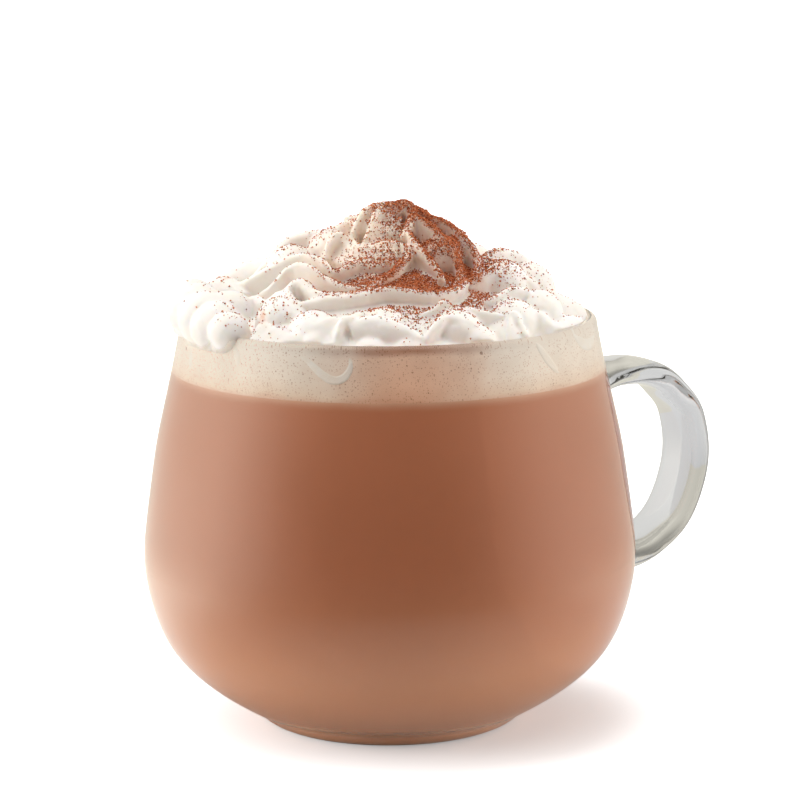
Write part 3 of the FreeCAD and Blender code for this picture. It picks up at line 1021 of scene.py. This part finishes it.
def fallen_grains(cream, rng):
    """Where grains dropped on the cream come to rest, and how large each is."""
    tree = BVHTree.FromObject(cream, bpy.context.evaluated_depsgraph_get())
    placed = []
    tries = 0
    while len(placed) < GRAINS and tries < GRAINS * TRIES_A_GRAIN:
        tries += 1
        out = SCATTER_REACH * math.sqrt(rng.random())
        turn = rng.uniform(0, 2 * math.pi)
        over = Vector((out * math.cos(turn), out * math.sin(turn), DROP_HEIGHT))
        if rng.random() > dusting(Vector((over.x, over.y, DUSTED_HEIGHT))) * KEPT_SHARE:
            continue
        fall = Vector((rng.normal(0, SLANT), rng.normal(0, SLANT), -1)).normalized()
        hit, normal, _, _ = tree.ray_cast(over, fall)
        if hit is None or normal.z < STEEPEST:
            continue
        size = rng.uniform(*GRAIN_SIZES) * rng.uniform(0.6, 1.25) * MM
        placed.append((hit + normal * size * 0.25, size))
    return placed


def make_cinnamon(cream, material):
    """Grains on the cream, thickest where it was dusted, as one mesh."""
    rng = np.random.default_rng(11)
    shape, faces = grain_shape()
    placed = fallen_grains(cream, rng)
    axes = rng.normal(size=(len(placed), 3, 3))
    turns, _ = np.linalg.qr(axes)
    stretch = rng.uniform(0.6, 1.4, size=(len(placed), 1, 3))
    sizes = np.array([size for _, size in placed])[:, None, None]
    centres = np.array([place[:] for place, _ in placed])[:, None, :]
    grains = ((shape[None] * stretch * sizes) @ turns + centres).reshape(-1, 3)
    steps = np.arange(len(placed))[:, None, None] * len(shape)
    corners = (faces[None] + steps).reshape(-1, faces.shape[1])
    mesh = bpy.data.meshes.new("cinnamon")
    mesh.from_pydata(grains.tolist(), [], corners.tolist())
    place_piece("cinnamon_grains", mesh, material)
    for polygon in mesh.polygons:
        polygon.use_smooth = False


# ---- Studio ----
def make_lamps():
    """Soft boxes. Their glow in the glass comes from the world's own sides, which have no hard
    edges."""
    aim = seen(*LAMP_AIM)
    for name, place, size, power in LAMPS:
        data = bpy.data.lights.new(name, "AREA")
        data.shape = "RECTANGLE"
        data.size, data.size_y = size
        data.energy = power
        lamp = added(name, data)
        lamp.location = seen(*place)
        lamp.rotation_euler = (aim - seen(*place)).to_track_quat("-Z", "Y").to_euler()
        lamp.visible_glossy = False
        lamp.visible_transmission = False


def studio_glow():
    """How bright the studio is in a direction, as mirrored and as it shows through glass."""
    group = bpy.data.node_groups.new("studio_glow", "ShaderNodeTree")
    group.interface.new_socket("Direction", in_out="INPUT", socket_type="NodeSocketVector")
    group.interface.new_socket("Mirrored", in_out="OUTPUT", socket_type="NodeSocketFloat")
    group.interface.new_socket("Through", in_out="OUTPUT", socket_type="NodeSocketFloat")
    direction = group.nodes.new("NodeGroupInput").outputs["Direction"]
    result = group.nodes.new("NodeGroupOutput")
    deep = vector_maths(group, "DOT_PRODUCT", direction, DEEP)
    across = vector_maths(group, "DOT_PRODUCT", direction, ACROSS)
    high = vector_maths(group, "DOT_PRODUCT", direction, UP)
    depth_share = maths(group, "MULTIPLY_ADD", deep, 0.5, 0.5)
    sides = ramp(group, depth_share, SIDE_GLOW, "B_SPLINE")
    balance = maths(group, "MULTIPLY_ADD", across, *LEFT_BALANCE)
    glow = maths(group, "MULTIPLY", sides, balance)
    mirrored = maths(group, "MULTIPLY", glow, SIDE_STRENGTH)
    group.links.new(mirrored, result.inputs["Mirrored"])
    level = maths(group, "ABSOLUTE", deep)
    aside = ranged(group, level, 0.0, 0.95, GLASS_SIDE, GLASS_STRAIGHT)
    above = ranged(group, high, 0.35, 0.85, 1.0, GLASS_ABOVE)
    group.links.new(maths(group, "MULTIPLY", aside, above), result.inputs["Through"])
    return group


def add_glow(tree, group, direction):
    node = tree.nodes.new("ShaderNodeGroup")
    node.node_tree = group
    tree.links.new(direction, node.inputs["Direction"])
    return node.outputs["Mirrored"], node.outputs["Through"]


def floor_material(glow_group):
    """White by a painted glow that only the camera sees, weakest round an offset centre so that the
    shadow shows there. Bent glass sees it as the studio, except close to the mug.
    """
    material, tree, principled = new_material("white_floor", {
        "Base Color": FLOOR_WHITE, "Roughness": 0.9, "Specular IOR Level": 0.0,
    })
    place = object_place(tree)
    from_shadow = vector_maths(tree, "SUBTRACT", place, seen(*SHADOW_CENTRE))
    away = vector_maths(tree, "LENGTH", from_shadow)
    mirrored, through = add_glow(tree, glow_group, vector_maths(tree, "NORMALIZE", place))
    light = tree.nodes.new("ShaderNodeLightPath")
    bent = light.outputs["Is Transmission Ray"]
    # painted glow for the camera, weakest round the shadow's centre
    painted_glow = ranged(tree, away, *SHADOW_FADE, FLOOR_GLOW_NEAR, FLOOR_GLOW_FAR)
    camera_glow = maths(tree, "MULTIPLY", painted_glow, light.outputs["Is Camera Ray"])
    near = tree.nodes.new("ShaderNodeAddShader")
    tree.links.new(principled.outputs[0], near.inputs[0])
    tree.links.new(emission(tree, camera_glow), near.inputs[1])
    level = mix_number(tree, bent, mirrored, through)
    tint = mix_colour(tree, bent, WARM_GLOW, WHITE)
    far = emission(tree, mix_colour(tree, 1.0, tint, level, "MULTIPLY"))
    glassy = maths(tree, "MAXIMUM", light.outputs["Is Glossy Ray"], bent)
    straight = maths(tree, "LESS_THAN", light.outputs["Diffuse Depth"], 0.5)
    glassy = maths(tree, "MULTIPLY", glassy, straight)
    mirrored_far = ranged(tree, away, *MIRRORED_FLOOR)
    shown = mix_number(tree, bent, mirrored_far, ranged(tree, away, *FLOOR_THROUGH))
    share = maths(tree, "MULTIPLY", glassy, shown)
    surface_mix(tree, share, near.outputs[0], far)
    return material


def make_floor(glow_group):
    bm = bmesh.new()
    bmesh.ops.create_grid(bm, x_segments=1, y_segments=1, size=FLOOR_REACH)
    floor = added("studio_floor", mesh_from(bm, "studio_floor"))
    floor.data.materials.append(floor_material(glow_group))


def make_world(glow_group):
    """A pale studio all round: plain white to look at, softer as light, brightest at both sides."""
    world = bpy.data.worlds.new("studio")
    bpy.context.scene.world = world
    world.use_nodes = True
    tree = world.node_tree
    direction = tree.nodes.new("ShaderNodeTexCoord").outputs["Generated"]
    mirrored, through = add_glow(tree, glow_group, direction)
    light = tree.nodes.new("ShaderNodeLightPath")
    straight = maths(tree, "LESS_THAN", light.outputs["Diffuse Depth"], 0.5)
    glossy = maths(tree, "MULTIPLY", light.outputs["Is Glossy Ray"], straight)
    bent = maths(tree, "MULTIPLY", light.outputs["Is Transmission Ray"], straight)
    level = maths(tree, "MULTIPLY_ADD", mirrored, SIDE_AMBIENT, AMBIENT)
    level = mix_number(tree, glossy, level, mirrored)
    level = mix_number(tree, bent, level, through)
    level = mix_number(tree, light.outputs["Is Camera Ray"], level, 1.0)
    tint = mix_colour(tree, glossy, WHITE, WARM_GLOW)
    shown = mix_colour(tree, 1.0, tint, level, "MULTIPLY")
    tree.links.new(shown, tree.nodes["Background"].inputs["Color"])


def make_camera():
    data = bpy.data.cameras.new("camera")
    data.lens = LENS
    data.sensor_width = SENSOR
    data.clip_start = 0.05
    data.clip_end = 20
    camera = added("camera", data)
    bpy.context.scene.camera = camera
    back = -CAMERA_DISTANCE * math.cos(CAMERA_PITCH)
    up = CAMERA_DISTANCE * math.sin(CAMERA_PITCH)
    camera.location = seen(*(Vector(CAMERA_AIM) + Vector((0, back, up))))
    camera.rotation_euler = (math.radians(90) - CAMERA_PITCH, CAMERA_ROLL, SHOWN_SIDE)


# ---- Put together ----
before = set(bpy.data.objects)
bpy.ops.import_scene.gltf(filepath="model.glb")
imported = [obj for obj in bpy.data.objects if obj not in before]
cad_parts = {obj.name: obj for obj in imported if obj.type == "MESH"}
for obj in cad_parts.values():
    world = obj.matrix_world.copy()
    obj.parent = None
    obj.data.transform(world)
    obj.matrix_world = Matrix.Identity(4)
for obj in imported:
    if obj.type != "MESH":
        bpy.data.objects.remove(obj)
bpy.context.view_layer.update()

scene = bpy.context.scene
scene.view_settings.view_transform = "Standard"
make_camera()
glow_group = studio_glow()
make_world(glow_group)
make_floor(glow_group)
make_lamps()

mug_tree = cad_tree("glass_mug")
cup_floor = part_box("coffee")[0].z
coffee_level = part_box("coffee")[1].z
foam_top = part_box("milk_foam")[1].z
rim_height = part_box("glass_mug")[1].z

make_mug(mug_tree, cup_floor, rim_height, glass_material())
make_coffee(mug_tree, cup_floor, coffee_level, coffee_material(coffee_level))
make_foam(mug_tree, coffee_level, foam_top, foam_material(coffee_level, foam_top))
make_sunk_cream(mug_tree, sunk_cream_material())
cream_piece = make_cream(mug_tree, rim_height, cream_material())
make_cinnamon(cream_piece, cinnamon_material())
